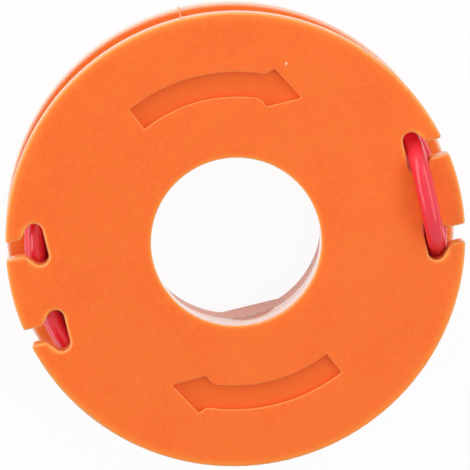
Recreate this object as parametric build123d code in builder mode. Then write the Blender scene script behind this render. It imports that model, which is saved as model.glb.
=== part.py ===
"""Trimmer line spool: a moulded two-flange spool wound full of round cutting line.

Millimetres. The spool stands on its rear flange: the origin is the centre of that face, +Z is the
spool's axis with the arrowed front flange on top, and +X points at the pair of notches that holds
the line's end.
"""

import os
from math import atan2, cos, degrees, hypot, radians, sin, tan

from build123d import *

# Spool body
flange_diameter = 67.0
front_flange_thickness = 3.2
rear_flange_thickness = 2.8
hub_wall = 2.1
rim_round = 0.25
front_edge_round = 0.45
groove_edge_round = 0.3

# Bore, and the rear socket with its two drive flats
bore_diameter = 24.8
bore_round = 0.25
bore_lip = 1.0
socket_depth = 6.0
socket_draft = 0.25
socket_step = 0.15
socket_mouth_chamfer = 0.3
flat_depth = 0.75

# Keyhole notches: two pairs, each notch a cross hole with an entry slot from the rim
notch_spacing = 13.1
hole_inset = 5.1
hole_width = 3.05
hole_length = 6.2
hole_end_round = 1.25
hole_taper = 1.9
entry_width = 2.45
notch_corner_round = 0.7
entry_corner_round = 0.4

# Debossed arrows, angles counted from +X
arrow_radius = 23.1
arrow_shaft_width = 3.6
arrow_head_width = 5.7
arrow_tip_angle = 52.5
arrow_head_angle = 11.9
arrow_neck_angle = 2.5
arrow_shaft_angle = 48.2
arrow_corner_round = 0.25
arrow_inner_neck_round = 1.7
arrow_outer_neck_round = 0.8
arrow_depth = 0.9
arrow_edge_round = 0.2

# Cutting line: the winding, and the end that is caught in one pair of notches
line_diameter = 2.7
line_clearance = 0.1
turns_across = 4
ridge_height = 1.0
line_rise_angle = 60.0
line_tab_clearance = 0.65
line_inset = 0.05
line_lead_angle = 7.7
line_crest_bend = 5.5
line_dip_bend = 3.0
last_turn_angle = 270.0
step_over_angle = 18.0
step_over_bend = 12.0
step_over_sink = 0.5
tucked_end_angle = 20.0

# Worked-out sizes
flange_radius = flange_diameter / 2
hole_distance = flange_radius - hole_inset
bore_radius = bore_diameter / 2
cavity_radius = bore_radius + bore_lip
hub_radius = cavity_radius + hub_wall
socket_radius = cavity_radius + socket_draft
across_flats = 2 * (socket_radius - flat_depth)
line_radius = line_diameter / 2
groove_width = turns_across * line_diameter + 2 * line_clearance
groove_bottom = rear_flange_thickness
groove_top = groove_bottom + groove_width
spool_height = groove_top + front_flange_thickness


def polar(radius, angle):
    """Point at a radius and an angle in degrees."""
    return (radius * cos(radians(angle)), radius * sin(radians(angle)))


# Entry slot and cross hole of one notch, centred on the slot's own line: the hole is round at its ends
# and narrows to the slot. Growing and shrinking the outline by the same amount rounds the corners where
# the slot meets the hole.
hole_end_distance = hole_distance - hole_width / 2 + hole_end_round
hole_end_offset = hole_length / 2 - hole_end_round

with BuildSketch() as keyhole:
    with Locations((hole_end_distance, hole_end_offset), (hole_end_distance, -hole_end_offset)):
        Circle(hole_end_round)
    with Locations((hole_distance, 0)):
        Rectangle(hole_taper, entry_width, align=(Align.MIN, Align.CENTER))
    make_hull()
    with Locations((hole_distance, 0)):
        Rectangle(flange_diameter, entry_width, align=(Align.MIN, Align.CENTER))
    offset(amount=notch_corner_round)
    offset(amount=-notch_corner_round)

# Front flange seen from above, with its bore and four notches
with BuildSketch() as front_outline:
    Circle(flange_radius)
    with PolarLocations(0, 2):
        with Locations((0, notch_spacing / 2), (0, -notch_spacing / 2)):
            add(keyhole.sketch, mode=Mode.SUBTRACT)
    entry_corners = front_outline.vertices().filter_by(
        lambda v: hypot(v.X, v.Y) > flange_radius - entry_corner_round and abs(v.Y) > entry_width
    )
    fillet(entry_corners, radius=entry_corner_round)
    Circle(bore_radius, mode=Mode.SUBTRACT)

# One arrow: a curved shaft that ends in a barbed head
arrow_barb_angle = arrow_tip_angle + arrow_head_angle
arrow_shoulder_angle = arrow_barb_angle + arrow_neck_angle
arrow_tail_angle = arrow_shoulder_angle + arrow_shaft_angle
shaft_outer = arrow_radius + arrow_shaft_width / 2
shaft_inner = arrow_radius - arrow_shaft_width / 2

arrow_inner_neck = polar(shaft_inner, arrow_shoulder_angle)
arrow_outer_neck = polar(shaft_outer, arrow_shoulder_angle)
arrow_corners = [
    polar(shaft_outer, arrow_tail_angle),
    polar(shaft_inner, arrow_tail_angle),
    polar(arrow_radius - arrow_head_width / 2, arrow_barb_angle),
    polar(arrow_radius, arrow_tip_angle),
    polar(arrow_radius + arrow_head_width / 2, arrow_barb_angle),
]

with BuildSketch() as arrow:
    with BuildLine():
        CenterArc((0, 0), shaft_outer, arrow_shoulder_angle, arrow_shaft_angle)
        Line(arrow_corners[0], arrow_corners[1])
        CenterArc((0, 0), shaft_inner, arrow_shoulder_angle, arrow_shaft_angle)
        Polyline(arrow_inner_neck, *arrow_corners[2:], arrow_outer_neck)
    make_face()
    fillet(arrow.vertices().sort_by_distance(arrow_inner_neck)[0], radius=arrow_inner_neck_round)
    fillet(arrow.vertices().sort_by_distance(arrow_outer_neck)[0], radius=arrow_outer_neck_round)
    for corner in arrow_corners:
        fillet(arrow.vertices().sort_by_distance(corner)[0], radius=arrow_corner_round)

# Spool body: hub and rear flange turned from one profile, then the front flange on top
with BuildPart() as spool_body:
    with BuildSketch(Plane.XZ):
        with BuildLine():
            Polyline(
                (socket_radius, 0),
                (flange_radius, 0),
                (flange_radius, groove_bottom),
                (hub_radius, groove_bottom),
                (hub_radius, groove_top),
                (cavity_radius, groove_top),
                (cavity_radius, socket_depth),
                (cavity_radius + socket_step, socket_depth),
                close=True,
            )
        make_face()
    revolve(axis=Axis.Z)
    rear_rims = spool_body.edges().filter_by(GeomType.CIRCLE).filter_by(
        lambda e: abs(e.radius - flange_radius) < rim_round
    )
    fillet(rear_rims, radius=rim_round)

    with BuildSketch(Plane.XY.offset(groove_top)):
        add(front_outline.sketch)
    extrude(amount=front_flange_thickness)
    front_face = spool_body.faces().sort_by(Axis.Z)[-1]
    fillet(front_face.outer_wire().edges(), radius=front_edge_round)
    front_face = spool_body.faces().sort_by(Axis.Z)[-1]
    fillet(front_face.inner_wires()[0].edges(), radius=bore_round)
    undersides = spool_body.faces().filter_by_position(
        Axis.Z, groove_top - groove_edge_round, groove_top + groove_edge_round
    )
    fillet(undersides.sort_by(SortBy.AREA)[-1].outer_wire().edges(), radius=groove_edge_round)

    with BuildSketch():
        Circle((cavity_radius + hub_radius) / 2)
        Rectangle(flange_diameter, across_flats, mode=Mode.SUBTRACT)
    extrude(amount=socket_depth)
    rear_face = spool_body.faces().sort_by(Axis.Z)[0]
    chamfer(rear_face.inner_wires()[0].edges(), length=socket_mouth_chamfer)

    with BuildSketch(Plane.XY.offset(spool_height)):
        with PolarLocations(0, 2):
            add(arrow.sketch)
    extrude(amount=-arrow_depth, mode=Mode.SUBTRACT)
    front_face = spool_body.faces().sort_by(Axis.Z)[-1]
    arrow_rims = front_face.inner_wires().filter_by(lambda rim: len(rim.edges()) > 2)
    fillet(arrow_rims.edges(), radius=arrow_edge_round)

# The line's end, with heights counted from the last turn: along that turn, up through one hole, over
# the tab, down through the next hole and on under the flange
last_turn_height = groove_top - line_clearance - line_radius
rise_slope = tan(radians(line_rise_angle))
crest_height = spool_height + line_tab_clearance + line_radius - last_turn_height
flange_middle = groove_top + front_flange_thickness / 2 - last_turn_height
dip_offset = notch_spacing / 2 - line_inset + flange_middle / rise_slope
crest_offset = dip_offset - crest_height / rise_slope
turn_radius = hypot(hole_distance, dip_offset) * cos(radians(line_lead_angle))
leave_angle = degrees(atan2(dip_offset, hole_distance)) + line_lead_angle
start_angle = leave_angle + last_turn_angle

step_over_start = polar(turn_radius - step_over_sink, start_angle + step_over_angle)
step_over_corner_radius = turn_radius / cos(radians(step_over_angle / 2))

with BuildLine(Plane.XY.offset(last_turn_height)) as line_route:
    FilletPolyline(
        (*step_over_start, step_over_sink - line_diameter),
        (*polar(step_over_corner_radius, start_angle + step_over_angle / 2), 0),
        (*polar(turn_radius, start_angle), 0),
        radius=step_over_bend,
    )
    CenterArc((0, 0), turn_radius, start_angle, -last_turn_angle)
    FilletPolyline(
        (*polar(turn_radius, leave_angle), 0),
        (hole_distance, dip_offset, 0),
        (hole_distance, crest_offset, crest_height),
        (hole_distance, -crest_offset, crest_height),
        (hole_distance, -dip_offset, 0),
        (*polar(turn_radius, -leave_angle), 0),
        radius=[line_dip_bend, line_crest_bend, line_crest_bend, line_dip_bend],
    )
    CenterArc((0, 0), turn_radius, -leave_angle, -tucked_end_angle)

# Winding: one turned solid, ridged like the turns that show, with the last turn's place left open
valley = line_radius - ridge_height
winding_base = hub_radius + line_clearance
core_bottom = groove_bottom + line_clearance + ridge_height
core_top = groove_top - line_clearance - ridge_height
outer_core_top = last_turn_height - line_radius + valley
ridge_centres = [
    (turn_radius, last_turn_height - turn * line_diameter) for turn in range(1, turns_across)
]

with BuildPart() as trimmer_line:
    with BuildSketch(Plane.XZ):
        with Locations((winding_base, core_bottom)):
            Rectangle(
                turn_radius + valley - winding_base,
                outer_core_top - core_bottom,
                align=(Align.MIN, Align.MIN),
            )
            Rectangle(
                turn_radius - line_radius + valley - winding_base,
                core_top - core_bottom,
                align=(Align.MIN, Align.MIN),
            )
        with Locations(ridge_centres):
            Circle(line_radius)
    revolve(axis=Axis.Z)
    route = line_route.wires()[0]
    with BuildSketch(Plane(origin=route @ 0, z_dir=route % 0)):
        Circle(line_radius)
    sweep(path=route)

spool_body.part.label = "spool_body"
trimmer_line.part.label = "trimmer_line"
os.makedirs("parts", exist_ok=True)
export_step(spool_body.part, "parts/spool_body.step")
export_step(trimmer_line.part, "parts/trimmer_line.step")
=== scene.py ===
"""Finishes the trimmer line spool: its moulded plastic, its mould seams and the line wound on it."""

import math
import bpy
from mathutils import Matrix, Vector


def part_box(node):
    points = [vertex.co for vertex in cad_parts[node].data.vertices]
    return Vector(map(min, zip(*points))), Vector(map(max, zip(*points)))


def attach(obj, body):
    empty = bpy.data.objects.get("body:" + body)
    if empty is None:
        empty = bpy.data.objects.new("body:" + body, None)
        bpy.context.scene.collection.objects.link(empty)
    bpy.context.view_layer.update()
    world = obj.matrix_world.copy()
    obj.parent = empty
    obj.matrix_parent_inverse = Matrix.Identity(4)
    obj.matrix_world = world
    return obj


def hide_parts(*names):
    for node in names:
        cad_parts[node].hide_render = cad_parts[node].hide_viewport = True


bl_info = {
    "name": "Trimmer Line Spool",
    "version": (1, 0, 0),
    "blender": (4, 5, 0),
    "location": "3D View > Sidebar > Line Spool",
    "description": "Finishes a moulded trimmer spool and winds its cutting line",
    "category": "Object",
}

import bpy
from bpy.props import FloatProperty, FloatVectorProperty, IntProperty, PointerProperty
from mathutils import Matrix, Vector

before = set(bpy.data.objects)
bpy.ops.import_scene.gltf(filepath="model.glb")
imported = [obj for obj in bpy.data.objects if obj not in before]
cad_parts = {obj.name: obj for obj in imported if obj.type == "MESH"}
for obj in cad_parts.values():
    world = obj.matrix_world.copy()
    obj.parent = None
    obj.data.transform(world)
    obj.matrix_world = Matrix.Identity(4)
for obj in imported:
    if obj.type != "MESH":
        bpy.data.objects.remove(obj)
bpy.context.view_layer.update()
spool_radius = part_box("spool_body")[1][0]
spool_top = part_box("spool_body")[1][2]
winding_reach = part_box("trimmer_line")[1][1]

MM = 0.001


class SpoolSizes(bpy.types.PropertyGroup):
    """Sizes of the line, of its winding and of the marks that moulding leaves"""

    line_diameter: FloatProperty(
        name="Line diameter",
        description="Thickness of the cutting line",
        default=2.7 * MM,
        unit="LENGTH",
        precision=5,
    )
    winding_radius: FloatProperty(
        name="Winding radius",
        description="Outside of the last layer of line, from the spool's axis",
        default=winding_reach,
        unit="LENGTH",
        precision=5,
    )
    hub_radius: FloatProperty(
        name="Hub radius",
        description="Radius of the hub that the line is wound on",
        default=15.5 * MM,
        unit="LENGTH",
        precision=5,
    )
    groove_bottom: FloatProperty(
        name="Rear flange",
        description="Thickness of the rear flange, where the winding starts",
        default=2.8 * MM,
        unit="LENGTH",
        precision=5,
    )
    front_flange: FloatProperty(
        name="Front flange",
        description="Thickness of the front flange",
        default=3.2 * MM,
        unit="LENGTH",
        precision=5,
    )
    layer_count: IntProperty(
        name="Layers",
        description="Layers of line from the hub outwards",
        default=6,
        min=1,
    )
    turns_across: IntProperty(
        name="Turns across",
        description="Turns side by side in a full layer",
        default=4,
        min=2,
    )
    bore_radius: FloatProperty(
        name="Bore radius",
        description="Radius of the hole through the front flange",
        default=12.4 * MM,
        unit="LENGTH",
        precision=5,
    )
    hole_distance: FloatProperty(
        name="Hole distance",
        description="Distance of the notches' cross holes from the axis, along X",
        default=28.4 * MM,
        unit="LENGTH",
        precision=5,
    )
    hole_offset: FloatProperty(
        name="Hole offset",
        description="Distance of the notches' cross holes from the axis, along Y",
        default=6.55 * MM,
        unit="LENGTH",
        precision=5,
    )
    hole_width: FloatProperty(
        name="Hole width",
        description="Width of a notch's cross hole",
        default=3.05 * MM,
        unit="LENGTH",
        precision=5,
    )
    hole_length: FloatProperty(
        name="Hole length",
        description="Length of a notch's cross hole",
        default=6.2 * MM,
        unit="LENGTH",
        precision=5,
    )
    entry_width: FloatProperty(
        name="Entry width",
        description="Width of the slot from the rim into a notch",
        default=2.45 * MM,
        unit="LENGTH",
        precision=5,
    )
    seam_width: FloatProperty(
        name="Seam width",
        description="Width of the witness line where the mould halves met",
        default=0.34 * MM,
        unit="LENGTH",
        precision=5,
    )
    seam_height: FloatProperty(
        name="Seam height",
        description="How far the witness line stands proud of the plastic",
        default=0.12 * MM,
        unit="LENGTH",
        precision=5,
    )


class SpoolColours(bpy.types.PropertyGroup):
    """Colours of the plastic, the line and the floor"""

    plastic: FloatVectorProperty(
        name="Plastic",
        description="Orange of the moulded spool",
        subtype="COLOR",
        default=(0.97, 0.18, 0.021),
    )
    plastic_deep: FloatVectorProperty(
        name="Deep plastic",
        description="Darker orange in the cloudy patches of the moulding",
        subtype="COLOR",
        default=(0.92, 0.136, 0.0105),
    )
    # Painted shade: a deeper orange that stands for the shade on the arrows' floors
    arrow_floor_shade: FloatVectorProperty(
        name="Recessed plastic",
        description="Deeper orange on the floors of the arrows",
        subtype="COLOR",
        default=(0.87, 0.143, 0.011),
    )
    # Painted glow along the face's thin edges; also the pale tone mottled into the seams
    pale_plastic_and_edge_glow: FloatVectorProperty(
        name="Pale plastic",
        description="Yellower orange along the face's thin edges",
        subtype="COLOR",
        default=(1.0, 0.34, 0.045),
    )
    # Painted reflection: paler plastic on the upright walls, and a painted highlight on the rounded
    # front edges
    wall: FloatVectorProperty(
        name="Walls",
        description="Paler plastic on the polished walls",
        subtype="COLOR",
        default=(1.0, 0.42, 0.14),
    )
    # Painted sheen along the rear flange's edge, where its wall mirrors the white floor
    rear_rim: FloatVectorProperty(
        name="Rear rim",
        description="Whitened plastic along the rear flange's edge",
        subtype="COLOR",
        default=(1.0, 0.72, 0.56),
    )
    # Painted light: the ledges above the socket's flats, which lie in shade under the bore's lip, are
    # painted nearly white
    ledge_painted_light: FloatVectorProperty(
        name="Ledge",
        description="Whitened plastic on the ledges above the socket's flats",
        subtype="COLOR",
        default=(1.0, 0.93, 0.9),
    )
    # Painted reflection on the bore's walls
    bore_sheen: FloatVectorProperty(
        name="Bore",
        description="Bleached plastic on the bore's walls",
        subtype="COLOR",
        default=(0.98, 0.74, 0.66),
    )
    # Weaker painted reflection on the socket's walls
    socket_sheen: FloatVectorProperty(
        name="Socket band",
        description="Duller plastic on the socket's walls",
        subtype="COLOR",
        default=(0.86, 0.42, 0.33),
    )
    # Painted highlight: the seams' thin fins are painted pale
    seam: FloatVectorProperty(
        name="Seam",
        description="Pale plastic on the mould seams",
        subtype="COLOR",
        default=(1.0, 0.55, 0.3),
    )
    nick: FloatVectorProperty(
        name="Nick",
        description="Whitened plastic in the small nicks",
        subtype="COLOR",
        default=(0.98, 0.76, 0.48),
    )
    line: FloatVectorProperty(
        name="Line",
        description="Red of the nylon line",
        subtype="COLOR",
        default=(0.85, 0.028, 0.055),
    )
    line_deep: FloatVectorProperty(
        name="Deep line",
        description="Darker red in the cloudy patches along the line",
        subtype="COLOR",
        default=(0.78, 0.017, 0.037),
    )
    floor: FloatVectorProperty(
        name="Floor",
        description="Pale floor under the spool",
        subtype="COLOR",
        default=(0.92, 0.92, 0.92),
    )


class SpoolStage(bpy.types.PropertyGroup):
    """Where the camera stands and how strong the lamps are"""

    view_distance: FloatProperty(
        name="View distance",
        description="Distance of the camera from the front flange's face",
        default=0.49,
        unit="LENGTH",
    )
    view_tilt: FloatProperty(
        name="View tilt",
        description="Lean of the camera away from the spool's axis",
        default=math.radians(10.2),
        subtype="ANGLE",
    )
    view_side: FloatProperty(
        name="View side",
        description="Direction that the camera leans towards, counted from X",
        default=math.radians(95.0),
        subtype="ANGLE",
    )
    view_turn: FloatProperty(
        name="View turn",
        description="Angle of the notches' axis in the picture",
        default=math.radians(13.86),
        subtype="ANGLE",
    )
    view_lens: FloatProperty(
        name="Lens",
        description="Focal length in millimetres on a 36 mm sensor",
        default=258.4,
    )
    aim_right: FloatProperty(
        name="Aim right",
        description="How far right of the face's centre the camera aims",
        default=-0.2 * MM,
        unit="LENGTH",
        precision=5,
    )
    aim_up: FloatProperty(
        name="Aim up",
        description="How far above the face's centre the camera aims",
        default=1.07 * MM,
        unit="LENGTH",
        precision=5,
    )
    room_light: FloatProperty(
        name="Room light",
        description="Strength of the even light from all around",
        default=0.28,
    )
    key_power: FloatProperty(
        name="Key lamp",
        description="Power of the soft lamp above the picture",
        default=0.2,
        unit="POWER",
    )
    top_power: FloatProperty(
        name="Top lamp",
        description="Power of the lamp straight above the spool",
        default=1.5,
        unit="POWER",
    )
    right_power: FloatProperty(
        name="Right strip",
        description="Power of the long lamp on the right",
        default=2.6,
        unit="POWER",
    )
    left_power: FloatProperty(
        name="Left strip",
        description="Power of the long lamp on the left",
        default=3.6,
        unit="POWER",
    )


class Channel:
    """An output of a node. Python's operators on it add Math nodes."""

    def __init__(self, finish, socket):
        self.finish = finish
        self.socket = socket

    def output(self, name):
        """Another output of the same node."""
        return Channel(self.finish, self.socket.node.outputs[name])

    def maths(self, operation, first, second, clamp=False):
        settings = {"operation": operation, "use_clamp": clamp}
        return self.finish.node("ShaderNodeMath", settings, {0: first, 1: second})

    def __add__(self, other):
        return self.maths("ADD", self, other)

    def __radd__(self, other):
        return self.maths("ADD", other, self)

    def __sub__(self, other):
        return self.maths("SUBTRACT", self, other)

    def __rsub__(self, other):
        return self.maths("SUBTRACT", other, self)

    def __mul__(self, other):
        return self.maths("MULTIPLY", self, other)

    def __rmul__(self, other):
        return self.maths("MULTIPLY", other, self)

    def __truediv__(self, other):
        return self.maths("DIVIDE", self, other)

    def __pow__(self, other):
        return self.maths("POWER", self, other)

    def __gt__(self, other):
        return self.maths("GREATER_THAN", self, other)

    def __lt__(self, other):
        return self.maths("LESS_THAN", self, other)

    def __abs__(self):
        return self.maths("ABSOLUTE", self, 0.0)

    def least(self, other):
        """The smaller of two values."""
        return self.maths("MINIMUM", self, other)

    def most(self, other):
        """The larger of two values."""
        return self.maths("MAXIMUM", self, other)

    def clamped(self):
        """The same value, held between 0 and 1."""
        return self.maths("ADD", self, 0.0, clamp=True)


class Finish:
    """The node tree of a material or of the world, while it is put together."""

    def __init__(self, owner):
        owner.use_nodes = True
        self.owner = owner
        self.tree = owner.node_tree
        self.tree.nodes.clear()

    def node(self, kind, settings, inputs, output=0):
        """Add a node, set it up, fill its sockets and give one of its outputs."""
        node = self.tree.nodes.new(kind)
        for name, value in settings.items():
            setattr(node, name, value)
        for key, value in inputs.items():
            if isinstance(value, Channel):
                self.tree.links.new(value.socket, node.inputs[key])
            else:
                node.inputs[key].default_value = value
        if not node.outputs:
            return None
        return Channel(self, node.outputs[output])

    def noise(self, place, scale, detail=2.0, roughness=0.5):
        """Cloudy values around 0.5, with a scale in cycles per metre."""
        inputs = {"Vector": place, "Scale": scale, "Detail": detail, "Roughness": roughness}
        return self.node("ShaderNodeTexNoise", {}, inputs, "Fac")

    def blend(self, factor, first, second):
        """Mix of two colours."""
        settings = {"data_type": "RGBA"}
        return self.node("ShaderNodeMix", settings, {0: factor, 6: first, 7: second}, 2)

    def bump(self, height, strength, distance):
        """Normal of a surface that a height roughens."""
        inputs = {"Height": height, "Strength": strength, "Distance": distance}
        return self.node("ShaderNodeBump", {}, inputs, "Normal")

    def principled(self, inputs):
        """Principled surface on the material's output."""
        surface = self.node("ShaderNodeBsdfPrincipled", {}, inputs, "BSDF")
        self.node("ShaderNodeOutputMaterial", {}, {"Surface": surface})


def solid(colour):
    """Opaque colour for a socket."""
    return (colour[0], colour[1], colour[2], 1.0)


def deselect_all():
    bpy.ops.object.select_all(action="DESELECT")


# Bounds of the arrows, the bore, the socket and its ledges on the moulded spool
ARROW_DEPTH = 0.9 * MM
ARROW_INNER_RADIUS = 18.0 * MM
ARROW_OUTER_RADIUS = 26.4 * MM
CAVITY_RADIUS = 14.2 * MM
BORE_ROUNDING = 0.3 * MM
SOCKET_HEIGHT = 5.95 * MM
LEDGE_HEIGHT = 6.5 * MM

# How far the painted glow and painted sheen reach from the notches, the rim, the bore and the flanges'
# edges
NOTCH_GLOW = 0.8 * MM
RIM_GLOW = 1.6 * MM
BORE_GLOW = 0.9 * MM
FRONT_EDGE = 0.6 * MM
REAR_EDGE = 0.3 * MM
SHEEN_FADE = 0.5 * MM

# Nicks in the front face: their lean and length, then place along X and Y, radius and whiteness
NICK_DEPTH = 0.1 * MM
NICK_LEAN = math.radians(39.0)
NICK_STRETCH = 1.6
NICKS = [
    (12.98 * MM, 23.7 * MM, 0.22 * MM, 1.0),
    (-22.6 * MM, -4.8 * MM, 0.16 * MM, 0.25),
    (-18.7 * MM, -16.6 * MM, 0.15 * MM, 0.25),
]


def notch_distance(sizes, x, y):
    """Distance from the nearest notch's edge."""
    hole_out = abs(x) - sizes.hole_distance
    hole_side = abs(abs(y) - sizes.hole_offset)
    hole_end = (hole_side - (sizes.hole_length - sizes.hole_width) / 2).most(0.0)
    hole_gap = (hole_out * hole_out + hole_end * hole_end) ** 0.5 - sizes.hole_width / 2
    entry_gap = (hole_side - sizes.entry_width / 2).most(0.0 - hole_out)
    return hole_gap.least(entry_gap)


def nick_mark(x, y, speck, nick_x, nick_y, nick_radius):
    """1 in the middle of a leaning nick with ragged edges, 0 outside it."""
    right = x - nick_x
    up = y - nick_y
    across = right * math.cos(NICK_LEAN) - up * math.sin(NICK_LEAN)
    along = (right * math.sin(NICK_LEAN) + up * math.cos(NICK_LEAN)) / NICK_STRETCH
    distance = (across * across + along * along) ** 0.5 + (speck - 0.5) * nick_radius
    return ((nick_radius - distance) / (0.8 * nick_radius)).clamped()


def make_plastic(context):
    """Fine-grained orange plastic, cloudy, with polished walls and a few nicks; painted reflection on
    the walls, painted glow and highlights along the edges and painted shade in the arrows.
    """
    colours = context.scene.spool_colours
    sizes = context.scene.spool_sizes
    finish = Finish(bpy.data.materials.new("moulded_orange_plastic"))
    place = finish.node("ShaderNodeTexCoord", {}, {}, "Object")
    x = finish.node("ShaderNodeSeparateXYZ", {}, {"Vector": place}, "X")
    y = x.output("Y")
    z = x.output("Z")
    radius = (x * x + y * y) ** 0.5

    # How far the surface faces up, and 1 where it stands upright
    facing = finish.node("ShaderNodeSeparateXYZ", {}, {"Vector": place.output("Normal")}, "Z")
    wall = ((0.32 - facing * facing) / 0.26).clamped()

    cloud = finish.noise(place, scale=140.0, detail=3.0)
    grain = finish.noise(place, scale=7000.0, detail=2.0)
    speck = finish.noise(place, scale=1500.0, detail=1.0)
    patches = ((cloud - 0.35) * 1.2 + (speck - 0.5) * 1.4).clamped()
    colour = finish.blend(patches, solid(colours.plastic), solid(colours.plastic_deep))

    # Painted glow: a yellower orange along the thin edges, the rims, the bore and the front flange's
    # notches, where light gathers
    behind = z < spool_top - sizes.front_flange
    notch_share = (notch_distance(sizes, x, y) + behind) / NOTCH_GLOW
    rim_share = (spool_radius - radius) / (RIM_GLOW * (1.0 + behind))
    bore_share = (radius - sizes.bore_radius) / BORE_GLOW
    edge = (1.0 - notch_share.least(rim_share).least(bore_share)).clamped()
    colour = finish.blend(edge * edge * 0.95, colour, solid(colours.pale_plastic_and_edge_glow))

    # Painted reflection: paler plastic on the walls, a painted highlight on the rounded front edges,
    # and a painted sheen along the rear flange's edge
    front_edge_highlight = ((0.98 - facing) / 0.25).clamped() * (facing > 0.2) * (z > spool_top - FRONT_EDGE)
    colour = finish.blend((wall * 0.6).most(front_edge_highlight * 0.8), colour, solid(colours.wall))
    # Painted sheen along the rear flange's edge, strongest towards its groove side
    rear_rim = behind * ((radius - spool_radius) / REAR_EDGE + 1.9).clamped()
    groove_side_sheen = ((z - sizes.groove_bottom) / SHEEN_FADE + 1.0).clamped()
    colour = finish.blend(rear_rim * (0.2 + groove_side_sheen * 0.65), colour, solid(colours.rear_rim))

    # Painted shade on the floors of the debossed arrows
    arrow_shade = ((spool_top - z) / ARROW_DEPTH).clamped() * (z > spool_top - 1.1 * ARROW_DEPTH)
    arrow_shade = arrow_shade * (radius > ARROW_INNER_RADIUS) * (radius < ARROW_OUTER_RADIUS)
    colour = finish.blend(arrow_shade, colour, solid(colours.arrow_floor_shade))

    # Painted reflection: the bore's walls paler, the socket's walls less so
    bore = (radius < CAVITY_RADIUS) * (z < spool_top - BORE_ROUNDING)
    socket = bore * (z < SOCKET_HEIGHT)
    colour = finish.blend(bore * 0.35, colour, solid(colours.bore_sheen))
    colour = finish.blend(socket * 0.4, colour, solid(colours.socket_sheen))
    # Painted light on the shaded ledges above the socket's flats
    ledge_painted_light = bore * (z < LEDGE_HEIGHT) * (facing > 0.7)
    colour = finish.blend(ledge_painted_light, colour, solid(colours.ledge_painted_light))

    face = z > spool_top - NICK_DEPTH
    for nick_x, nick_y, nick_radius, whiteness in NICKS:
        mark = nick_mark(x, y, speck, nick_x, nick_y, nick_radius) * face
        colour = finish.blend(mark * whiteness, colour, solid(colours.nick))

    polish = (rear_rim.most(bore - socket * 0.85)).most(0.15) * wall
    finish.principled({
        "Base Color": colour,
        "Roughness": 0.4 + cloud * 0.14 - wall * 0.26 + socket * 0.2,
        "IOR": 1.45,
        "Coat Weight": polish,
        "Coat Roughness": 0.12,
        "Coat IOR": 1.5,
        "Subsurface Weight": 0.4,
        "Subsurface Radius": (1.0, 0.25, 0.08),
        "Subsurface Scale": 1.8 * MM,
        "Normal": finish.bump(grain * (1.0 - wall), strength=0.25, distance=0.02 * MM),
    })
    return finish.owner


def make_seam_plastic(context):
    """Thin plastic of the mould seams, painted pale as a highlight along the fins."""
    colours = context.scene.spool_colours
    finish = Finish(bpy.data.materials.new("seam_plastic_painted_highlight"))
    place = finish.node("ShaderNodeTexCoord", {}, {}, "Object")
    cloud = finish.noise(place, scale=900.0)
    colour = finish.blend(
        ((cloud - 0.3) * 1.5).clamped(), solid(colours.seam), solid(colours.pale_plastic_and_edge_glow)
    )
    finish.principled({"Base Color": colour, "Roughness": 0.3 + cloud * 0.15, "IOR": 1.49})
    return finish.owner


def make_nylon(context):
    """Smooth red nylon with faint streaks, which light enters a little way."""
    colours = context.scene.spool_colours
    finish = Finish(bpy.data.materials.new("red_nylon_line"))
    place = finish.node("ShaderNodeTexCoord", {}, {}, "Object")
    cloud = finish.noise(place, scale=220.0)
    scuff = finish.noise(place, scale=3200.0, detail=3.0, roughness=0.6)
    colour = finish.blend(
        ((cloud - 0.35) * 1.7).clamped(), solid(colours.line), solid(colours.line_deep)
    )
    finish.principled({
        "Base Color": colour,
        "Roughness": 0.15 + scuff * 0.06,
        "IOR": 1.5,
        "Subsurface Weight": 0.6,
        "Subsurface Radius": (1.0, 0.25, 0.3),
        "Subsurface Scale": 1.4 * MM,
        "Normal": finish.bump(scuff, strength=0.02, distance=0.02 * MM),
    })
    return finish.owner


class SPOOL_OT_finish_body(bpy.types.Operator):
    """Give the moulded spool its plastic"""

    bl_idname = "spool.finish_body"
    bl_label = "Finish the spool body"

    def execute(self, context):
        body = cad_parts["spool_body"]
        plastic = make_plastic(context)
        for slot in body.material_slots:
            slot.material = plastic
        return {"FINISHED"}


# The winding: room left at the hub and flanges, then angles in degrees for where the line starts,
# how far apart its points are and how far round a turn begins to cross to the next
LINE_CLEARANCE = 0.1 * MM
START_ANGLE = -100.0
POINT_STEP = 15.0
CROSS_START = 306.0

# How loose the last layer and its last turn are: the mean, the swing and the angle of the loosest place
LAYER_SLACK = (0.55 * MM, 0.6 * MM, 303.0)
LAST_SLACK = (0.2 * MM, 0.6 * MM, 330.0)

# The caught end: across X, along Y and height, up through one hole, over the tab and down
CAUGHT_END = [
    (28.45 * MM, 8.35 * MM, 12.5 * MM),
    (28.45 * MM, 5.9 * MM, 16.7 * MM),
    (28.4 * MM, 3.5 * MM, 19.1 * MM),
    (28.35 * MM, 0.0 * MM, 19.5 * MM),
    (28.35 * MM, -3.7 * MM, 19.1 * MM),
    (28.4 * MM, -6.9 * MM, 17.2 * MM),
    (28.5 * MM, -8.4 * MM, 12.2 * MM),
]
LEAVE_ANGLE = 23.6
TUCK_ANGLES = [-25.0, -32.0, -38.0, -44.0]


def winding_rings(sizes):
    """Radius and height of each turn, in the order that the line is wound."""
    line_radius = sizes.line_diameter / 2
    first_radius = sizes.hub_radius + LINE_CLEARANCE + line_radius
    last_radius = sizes.winding_radius - line_radius
    layer_step = (last_radius - first_radius) / (sizes.layer_count - 1)
    lowest = sizes.groove_bottom + LINE_CLEARANCE + line_radius
    rings = []
    for layer in range(sizes.layer_count):
        full = (sizes.layer_count - layer) % 2 == 1
        count = sizes.turns_across if full else sizes.turns_across - 1
        start = lowest if full else lowest + line_radius
        heights = [start + turn * sizes.line_diameter for turn in range(count)]
        if not full:
            heights.reverse()
        rings += [(first_radius + layer * layer_step, height) for height in heights]
    return rings


def slack(looseness, angle):
    """How much further out a loose turn lies at an angle in degrees."""
    mean, swing, loosest = looseness
    return mean + swing * math.cos(math.radians(angle - loosest))


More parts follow.
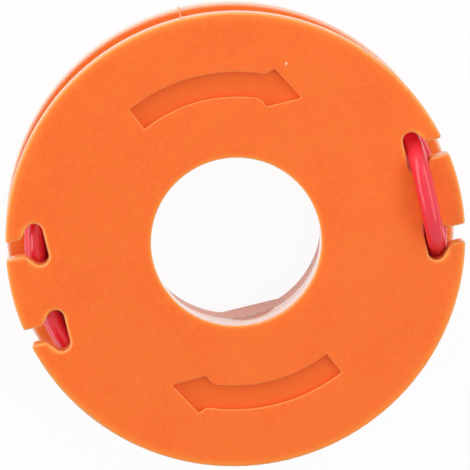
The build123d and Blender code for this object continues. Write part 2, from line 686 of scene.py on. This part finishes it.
def winding_points(sizes, last_angle):
    """Control points of the winding, clockwise from the hub to the last turn's end."""
    rings = winding_rings(sizes)
    # The curve runs inside its points by this share of their radius
    reach = 0.75 + 0.25 * math.cos(math.radians(POINT_STEP))
    total = (len(rings) - 1) * 360.0 + (START_ANGLE - (last_angle - 360.0))
    points = []
    for index in range(int(total / POINT_STEP) + 1):
        travel = index * POINT_STEP
        turn = int(travel // 360.0)
        phase = travel % 360.0
        radius, height = rings[turn]
        if phase > CROSS_START:
            share = (phase - CROSS_START) / (360.0 - CROSS_START)
            share = share * share * (3.0 - 2.0 * share)
            next_radius, next_height = rings[turn + 1]
            radius += (next_radius - radius) * share
            height += (next_height - height) * share
        if turn == len(rings) - 1:
            radius += slack(LAST_SLACK, START_ANGLE - travel)
        elif turn >= len(rings) - sizes.turns_across:
            radius += slack(LAYER_SLACK, START_ANGLE - travel)
        angle = math.radians(START_ANGLE - travel)
        points.append((radius / reach * math.cos(angle), radius / reach * math.sin(angle), height))
    return points


class SPOOL_OT_wind_line(bpy.types.Operator):
    """Wind one length of line on the hub and catch its end in the notches"""

    bl_idname = "spool.wind_line"
    bl_label = "Wind the line"

    def execute(self, context):
        sizes = context.scene.spool_sizes
        turn_radius = sizes.winding_radius - sizes.line_diameter / 2
        points = winding_points(sizes, LEAVE_ANGLE)
        height = points[-1][2]
        points += CAUGHT_END
        for angle in TUCK_ANGLES:
            along = math.radians(angle)
            radius = turn_radius + slack(LAST_SLACK, angle)
            points.append((radius * math.cos(along), radius * math.sin(along), height))

        deselect_all()
        curve = bpy.data.curves.new("trimmer_line_run", "CURVE")
        curve.dimensions = "3D"
        spline = curve.splines.new("NURBS")
        spline.points.add(len(points) - 1)
        for point, place in zip(spline.points, points):
            point.co = (*place, 1.0)
        spline.order_u = 3
        spline.use_endpoint_u = True
        spline.resolution_u = 4
        curve.bevel_depth = sizes.line_diameter / 2
        curve.bevel_resolution = 8
        curve.use_fill_caps = True
        line = bpy.data.objects.new("wound_line", curve)
        context.collection.objects.link(line)
        line.select_set(True)
        context.view_layer.objects.active = line
        bpy.ops.object.convert(target="MESH")
        line = context.view_layer.objects.active
        line.data.materials.clear()
        line.data.materials.append(make_nylon(context))
        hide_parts("trimmer_line")
        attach(line, "root")
        return {"FINISHED"}


# Mould seams: how far they run in from the rim, the rounding of their corners, and how far they
# stop short of the rear face and of the front face
SEAM_REACH = 2.6 * MM
SEAM_ROUND = 0.5 * MM
SEAM_REAR_GAP = 0.1 * MM
SEAM_FRONT_GAP = 0.25 * MM


class SPOOL_OT_add_seams(bpy.types.Operator):
    """Add the witness lines that the mould halves leave on both flanges"""

    bl_idname = "spool.add_seams"
    bl_label = "Add the mould seams"

    def execute(self, context):
        sizes = context.scene.spool_sizes
        inner = spool_radius - SEAM_REACH
        outer = spool_radius + sizes.seam_height
        groove_top = spool_top - sizes.front_flange
        flanges = [
            (SEAM_REAR_GAP, sizes.groove_bottom + sizes.seam_height),
            (groove_top - sizes.seam_height, spool_top - SEAM_FRONT_GAP),
        ]
        seams = []
        for low, high in flanges:
            for side in (1, -1):
                seams.append(self.add_seam(context, sizes.seam_width, side, inner, outer, low, high))
        deselect_all()
        for seam in seams:
            seam.select_set(True)
        context.view_layer.objects.active = seams[0]
        bpy.ops.object.join()
        joined = context.view_layer.objects.active
        joined.name = "mould_seams"
        joined.data.materials.clear()
        joined.data.materials.append(make_seam_plastic(context))
        bpy.ops.object.shade_smooth_by_angle(angle=math.radians(40))
        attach(joined, "root")
        return {"FINISHED"}

    def add_seam(self, context, width, side, inner, outer, low, high):
        """One thin fin, rounded at its outer corners like the rim that it stands on."""
        deselect_all()
        bpy.ops.mesh.primitive_cube_add(
            size=1.0, location=(0.0, side * (inner + outer) / 2, (low + high) / 2)
        )
        fin = context.view_layer.objects.active
        fin.scale = (width, outer - inner, high - low)
        bpy.ops.object.transform_apply(location=True, rotation=True, scale=True)
        bpy.ops.object.mode_set(mode="EDIT")
        bpy.ops.mesh.select_mode(type="EDGE")
        bpy.ops.mesh.select_all(action="DESELECT")
        bpy.ops.object.mode_set(mode="OBJECT")
        for edge in fin.data.edges:
            ends = [fin.data.vertices[index].co for index in edge.vertices]
            outside = all(abs(end.y) > outer - 0.01 * MM for end in ends)
            edge.select = outside and abs(ends[0].x - ends[1].x) > width / 2
        bpy.ops.object.mode_set(mode="EDIT")
        bpy.ops.mesh.bevel(offset=SEAM_ROUND, segments=6, profile=0.5, affect="EDGES")
        bpy.ops.object.mode_set(mode="OBJECT")
        return fin


# Floor: the disc seen through the bore, how far the floor reaches in under the rear flange, how
# many times further out it goes, and how much of it shows as plain white
FLOOR_MIDDLE = 14.6 * MM
FLOOR_OVERLAP = 0.4 * MM
FLOOR_SPREAD = 100.0
FLOOR_GLOW = 0.93


class SPOOL_OT_set_stage(bpy.types.Operator):
    """Set up the floor, the light and the camera"""

    bl_idname = "spool.set_stage"
    bl_label = "Set the stage"

    def execute(self, context):
        stage = context.scene.spool_stage
        self.add_floor(context)
        self.set_world(context, stage)
        self.add_lamps(context, stage)
        self.add_camera(context, stage)
        context.scene.view_settings.view_transform = "Standard"
        return {"FINISHED"}

    def seen_directly(self, finish):
        """1 for rays that show the surface to the eye, straight or in a reflection."""
        camera = finish.node("ShaderNodeLightPath", {}, {}, "Is Camera Ray")
        glossy = camera.output("Is Glossy Ray")
        through = camera.output("Is Transmission Ray")
        return (camera + glossy + through).clamped()

    def add_floor(self, context):
        """White floor, open where the rear flange covers it, so that it doesn't cut that face."""
        deselect_all()
        bpy.ops.mesh.primitive_circle_add(vertices=128, radius=FLOOR_MIDDLE, fill_type="NGON")
        middle = context.view_layer.objects.active
        deselect_all()
        bpy.ops.mesh.primitive_circle_add(vertices=128, radius=spool_radius - FLOOR_OVERLAP)
        floor = context.view_layer.objects.active
        bpy.ops.object.mode_set(mode="EDIT")
        bpy.ops.mesh.select_all(action="SELECT")
        bpy.ops.mesh.extrude_region_move()
        bpy.ops.transform.resize(value=(FLOOR_SPREAD, FLOOR_SPREAD, 1.0))
        bpy.ops.object.mode_set(mode="OBJECT")
        middle.select_set(True)
        bpy.ops.object.join()
        floor.name = "floor"
        finish = Finish(bpy.data.materials.new("white_floor"))
        colour = solid(context.scene.spool_colours.floor)
        matte = finish.node("ShaderNodeBsdfDiffuse", {}, {"Color": colour})
        glow = finish.node("ShaderNodeEmission", {}, {"Color": (1.0, 1.0, 1.0, 1.0)})
        share = self.seen_directly(finish) * FLOOR_GLOW
        surface = finish.node("ShaderNodeMixShader", {}, {0: share, 1: matte, 2: glow})
        finish.node("ShaderNodeOutputMaterial", {}, {"Surface": surface})
        floor.data.materials.append(finish.owner)

    def set_world(self, context, stage):
        world = context.scene.world
        if world is None:
            world = bpy.data.worlds.new("studio")
            context.scene.world = world
        finish = Finish(world)
        seen = self.seen_directly(finish)
        strength = seen + (1.0 - seen) * stage.room_light
        glow = finish.node(
            "ShaderNodeBackground", {}, {"Color": (1.0, 1.0, 1.0, 1.0), "Strength": strength}
        )
        finish.node("ShaderNodeOutputWorld", {}, {"Surface": glow})

    def add_lamps(self, context, stage):
        up = Matrix.Rotation(-stage.view_turn, 3, "Z") @ Vector((0.0, 1.0, 0.0))
        right = Matrix.Rotation(-stage.view_turn, 3, "Z") @ Vector((1.0, 0.0, 0.0))
        lamps = [
            ("key_lamp", (0.1, 0.42, 0.42), 0.4, 0.3, stage.key_power),
            ("top_lamp", (0.0, 0.0, 0.9), 0.3, 0.3, stage.top_power),
            ("right_strip", (0.42, 0.2, 0.44), 0.34, 1.3, stage.right_power),
            ("left_strip", (-0.56, 0.2, 0.26), 0.34, 1.3, stage.left_power),
        ]
        for name, (across, above, height), width, length, power in lamps:
            place = right * across + up * above + Vector((0.0, 0.0, height))
            back = place.normalized()
            along = (up - back * up.dot(back)).normalized()
            deselect_all()
            bpy.ops.object.light_add(type="AREA", location=place)
            lamp = context.view_layer.objects.active
            lamp.name = name
            lamp.rotation_euler = Matrix((along.cross(back), along, back)).transposed().to_euler()
            lamp.data.shape = "RECTANGLE"
            lamp.data.size = width
            lamp.data.size_y = length
            lamp.data.energy = power
            lamp.visible_glossy = name != "top_lamp"

    def add_camera(self, context, stage):
        tilt = stage.view_tilt
        back = Vector((
            math.sin(tilt) * math.cos(stage.view_side),
            math.sin(tilt) * math.sin(stage.view_side),
            math.cos(tilt),
        ))
        right = Vector((math.cos(stage.view_turn), -math.sin(stage.view_turn), 0.0))
        right = (right - back * right.dot(back)).normalized()
        up = back.cross(right)
        aim = Vector((0.0, 0.0, spool_top)) + right * stage.aim_right + up * stage.aim_up
        place = aim + back * stage.view_distance
        deselect_all()
        bpy.ops.object.camera_add(location=place)
        camera = context.view_layer.objects.active
        camera.name = "front_view"
        turn = Matrix((right, up, back)).transposed()
        camera.rotation_euler = turn.to_euler()
        camera.data.sensor_width = 36.0
        camera.data.lens = stage.view_lens
        camera.data.clip_start = 0.01
        context.scene.camera = camera


class SPOOL_PT_panel(bpy.types.Panel):
    """Sizes, colours and steps of the spool"""

    bl_idname = "SPOOL_PT_panel"
    bl_label = "Line Spool"
    bl_space_type = "VIEW_3D"
    bl_region_type = "UI"
    bl_category = "Line Spool"

    def draw(self, context):
        scene = context.scene
        for group in (scene.spool_sizes, scene.spool_colours, scene.spool_stage):
            box = self.layout.box()
            for name in group.__annotations__:
                box.prop(group, name)
        for operator in OPERATORS:
            self.layout.operator(operator.bl_idname)


OPERATORS = (
    SPOOL_OT_finish_body,
    SPOOL_OT_wind_line,
    SPOOL_OT_add_seams,
    SPOOL_OT_set_stage,
)
CLASSES = (SpoolSizes, SpoolColours, SpoolStage, *OPERATORS, SPOOL_PT_panel)


def register():
    for entry in CLASSES:
        bpy.utils.register_class(entry)
    bpy.types.Scene.spool_sizes = PointerProperty(type=SpoolSizes)
    bpy.types.Scene.spool_colours = PointerProperty(type=SpoolColours)
    bpy.types.Scene.spool_stage = PointerProperty(type=SpoolStage)


def unregister():
    del bpy.types.Scene.spool_stage
    del bpy.types.Scene.spool_colours
    del bpy.types.Scene.spool_sizes
    for entry in reversed(CLASSES):
        bpy.utils.unregister_class(entry)


def main():
    register()
    bpy.ops.spool.finish_body()
    bpy.ops.spool.wind_line()
    bpy.ops.spool.add_seams()
    bpy.ops.spool.set_stage()


if __name__ == "__main__":
    main()
